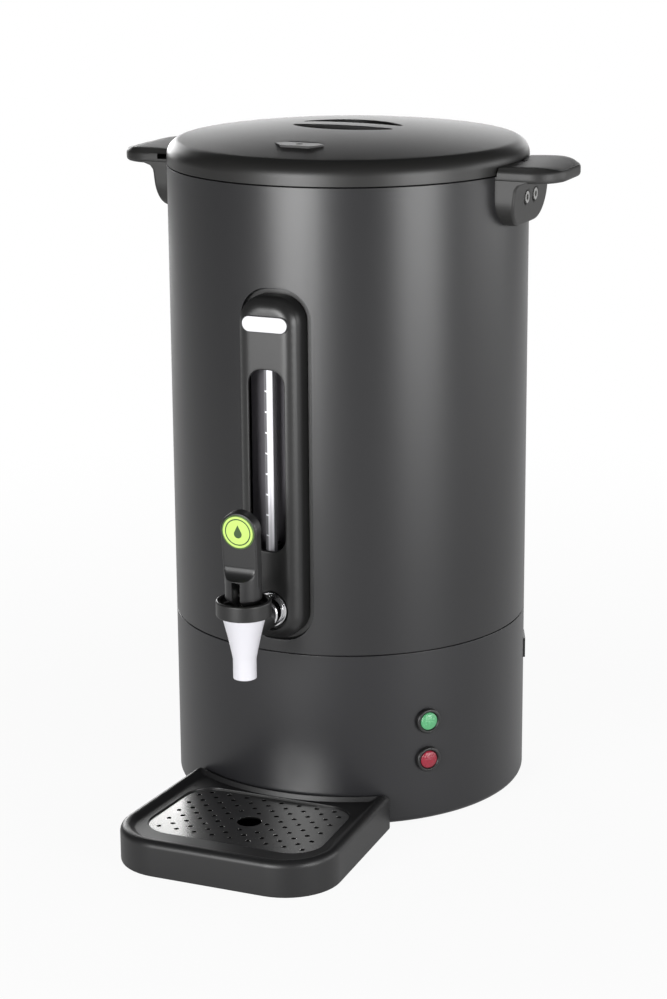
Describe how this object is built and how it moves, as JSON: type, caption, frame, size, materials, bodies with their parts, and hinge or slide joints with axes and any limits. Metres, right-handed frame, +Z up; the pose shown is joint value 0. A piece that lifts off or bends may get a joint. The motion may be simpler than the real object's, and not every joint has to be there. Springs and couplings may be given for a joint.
{
  "type": "coffee urn",
  "caption": "Tall round black coffee urn with domed twist lid, side handles, sight gauge, lever tap, lamps, rocker switch and a separate drip tray.",
  "frame": {"origin": "centre of the footprint box, on the table under the urn and tray", "axes": "+Z up; the tap and tray face -Y; +X is on the right of someone facing the tap"},
  "size_m": [0.346, 0.3874, 0.4975],
  "materials": {
    "body_coat": "matt powder coat",
    "base_coat": "matt powder coat",
    "lid_plastic": "fine matt texture",
    "handle_plastic": "fine matt texture",
    "panel_plastic": "satin",
    "lever_plastic": "satin",
    "tray_plastic": "satin",
    "trim_black": "satin",
    "inner_plastic": "matt",
    "steel": "brushed",
    "grille_steel": "polished",
    "chrome_trim": "polished",
    "screw_steel": "turned",
    "brass_fitting": "turned",
    "cast_heater": "cast",
    "pale_spout": "smooth",
    "badge_plate": "satin silver",
    "green_badge": "printed face with a dark green edge",
    "scale_print": "printed strip",
    "sight_glass": "clear",
    "silicone": "matt",
    "foot_rubber": "matt",
    "green_lens": "pebbled, lit from behind",
    "red_lens": "pebbled",
    "rocker_green": "clear green, lit from behind",
    "wire_cover": "smooth"
  },
  "bodies": {
    "body": {"body_shell": "body_coat", "base_shell": "base_coat", "seam_ring": "trim_black", "tank": "steel", "base_plate": "steel", "feet": "foot_rubber", "base_screws": "screw_steel", "heater_plate": "cast_heater", "heater_coil": "steel", "boil_thermostat": "screw_steel", "keep_warm_thermostat": "screw_steel", "thermal_cutout": "screw_steel", "terminal_block": "inner_plastic", "wiring": "wire_cover", "power_inlet": "trim_black", "inlet_pins": "brass_fitting", "inlet_screws": "screw_steel", "switch_housing": "trim_black", "lamp_bezels": "trim_black", "green_lens": "green_lens", "red_lens": "red_lens", "lamp_holders": "inner_plastic", "gauge_housing": "panel_plastic", "gauge_scale": "scale_print", "gauge_tube": "sight_glass", "gauge_seals": "silicone", "gauge_union": "trim_black", "gauge_gaskets": "silicone", "gauge_nut": "brass_fitting", "badge": "badge_plate", "tap_shank": "trim_black", "tap_collar": "chrome_trim", "tap_gaskets": "silicone", "tap_nut": "brass_fitting", "tap_spout": "pale_spout", "tap_bonnet": "trim_black", "tap_spring": "screw_steel", "handle_left": "handle_plastic", "handle_right": "handle_plastic", "handle_screws": "screw_steel", "handle_plates": "steel"},
    "lid_ring": {"lid_seal": "silicone"},
    "lid": {"lid_cover": "lid_plastic", "lid_liner": "inner_plastic", "lid_screws": "screw_steel", "steam_vent": "lid_plastic"},
    "stem": {"tap_stem": "screw_steel", "tap_plunger": "silicone", "tap_pin": "screw_steel"},
    "lever": {"tap_lever": "lever_plastic", "tap_badge": "green_badge"},
    "rocker": {"switch_rocker": "rocker_green"},
    "tray": {"tray_body": "tray_plastic"},
    "grille": {"tray_grille": "grille_steel"},
    "insert": {"riser_base": "steel", "riser_tube": "steel", "riser_valve": "steel"},
    "basket": {"basket": "steel"},
    "spreader": {"basket_cover": "steel"}
  },
  "joints": [
    {"name": "lid_lift", "type": "slide", "parent": "body", "child": "lid_ring", "axis": [0, 0, 1], "range_m": [0, 0.7]},
    {"name": "lid_twist", "type": "hinge", "parent": "lid_ring", "child": "lid", "pos_m": [0, 0.06125, 0.472], "axis": [0, 0, 1], "range_deg": [-9, 0]},
    {"name": "cover_lift", "type": "slide", "parent": "body", "child": "spreader", "axis": [0, 0, 1], "range_m": [0, 0.57]},
    {"name": "basket_lift", "type": "slide", "parent": "body", "child": "basket", "axis": [0, 0, 1], "range_m": [0, 0.5]},
    {"name": "insert_lift", "type": "slide", "parent": "body", "child": "insert", "axis": [0, 0, 1], "range_m": [0, 0.37]},
    {"name": "stem_slide", "type": "slide", "parent": "body", "child": "stem", "axis": [0, 0, 1], "range_m": [0, 0.0046], "deforming": ["tap_spring"]},
    {"name": "lever_tilt", "type": "hinge", "parent": "stem", "child": "lever", "pos_m": [0, -0.12675, 0.192], "axis": [1, 0, 0], "range_deg": [0, 45], "stiffness_Nm_per_rad": 0.4, "springref_deg": -28.65},
    {"name": "rocker_tilt", "type": "hinge", "parent": "body", "child": "rocker", "pos_m": [0.11961, 0.10957, 0.099], "axis": [0, 0, 1], "range_deg": [0, 12]},
    {"name": "tray_slide", "type": "slide", "parent": "body", "child": "tray", "axis": [0, -1, 0], "range_m": [0, 0.12]},
    {"name": "grille_lift", "type": "slide", "parent": "tray", "child": "grille", "axis": [0, 0, 1], "range_m": [0, 0.1]}
  ],
  "couplings": [
    {"joint": "cover_lift", "follows": "lid_lift", "ratio": 0.8},
    {"joint": "basket_lift", "follows": "lid_lift", "ratio": 0.7},
    {"joint": "insert_lift", "follows": "lid_lift", "ratio": 0.52},
    {"joint": "stem_slide", "follows": "lever_tilt", "m_per_rad": 0.00573}
  ]
}
